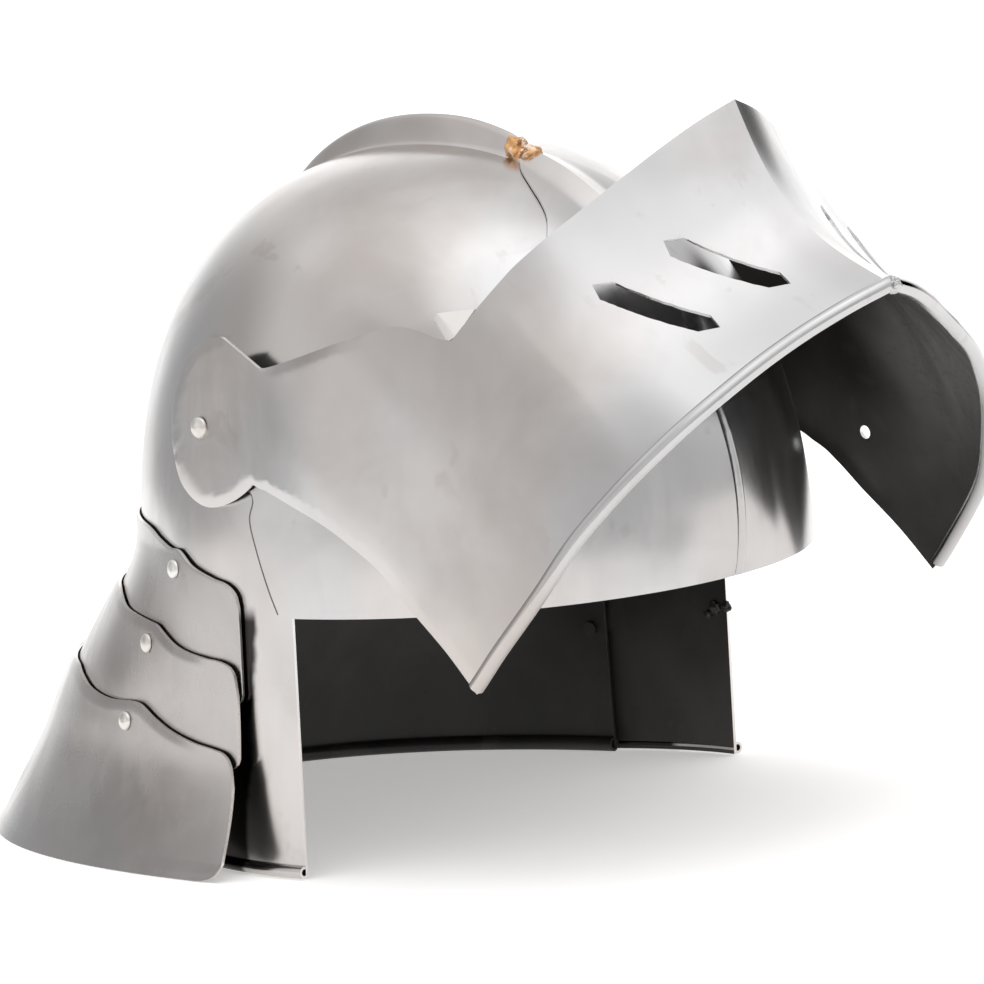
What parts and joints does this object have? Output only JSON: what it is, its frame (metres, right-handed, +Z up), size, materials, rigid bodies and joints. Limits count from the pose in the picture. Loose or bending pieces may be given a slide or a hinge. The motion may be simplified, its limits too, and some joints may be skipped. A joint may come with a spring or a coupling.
{
  "type": "sallet helmet",
  "caption": "Steel sallet helmet with a low comb, a brow plate, a long tail of overlapping plates and a keeled visor that lifts on side rivets.",
  "frame": {"origin": "under the middle of the helmet, at the level of its lower edge", "axes": "+Z up, -Y towards the front, +X towards the helmet's own left"},
  "size_m": [0.2472, 0.4198, 0.2529],
  "materials": {
    "polished_steel": "polished by hand, with faint scratches, smears and small dark specks",
    "blackened_steel": "blackened, slightly glossy",
    "rivet_steel": "polished domed heads"
  },
  "bodies": {
    "helmet": {"skull": "polished_steel", "back_plate": "blackened_steel", "tail_lame_1": "polished_steel", "tail_lame_2": "polished_steel", "tail_lame_3": "polished_steel", "lame_rivet_1_left": "rivet_steel", "lame_rivet_1_right": "rivet_steel", "lame_rivet_2_left": "rivet_steel", "lame_rivet_2_right": "rivet_steel", "lame_rivet_3_left": "rivet_steel", "lame_rivet_3_right": "rivet_steel", "neck_rivet_left": "rivet_steel", "neck_rivet_right": "rivet_steel", "pivot_rivet_left": "rivet_steel", "pivot_rivet_right": "rivet_steel"},
    "visor": {"visor": "polished_steel"}
  },
  "joints": [
    {"name": "visor_hinge", "type": "hinge", "parent": "helmet", "child": "visor", "pos_m": [0, 0.02074, 0.1546], "axis": [1, 0, 0], "range_deg": [0, 45]}
  ]
}
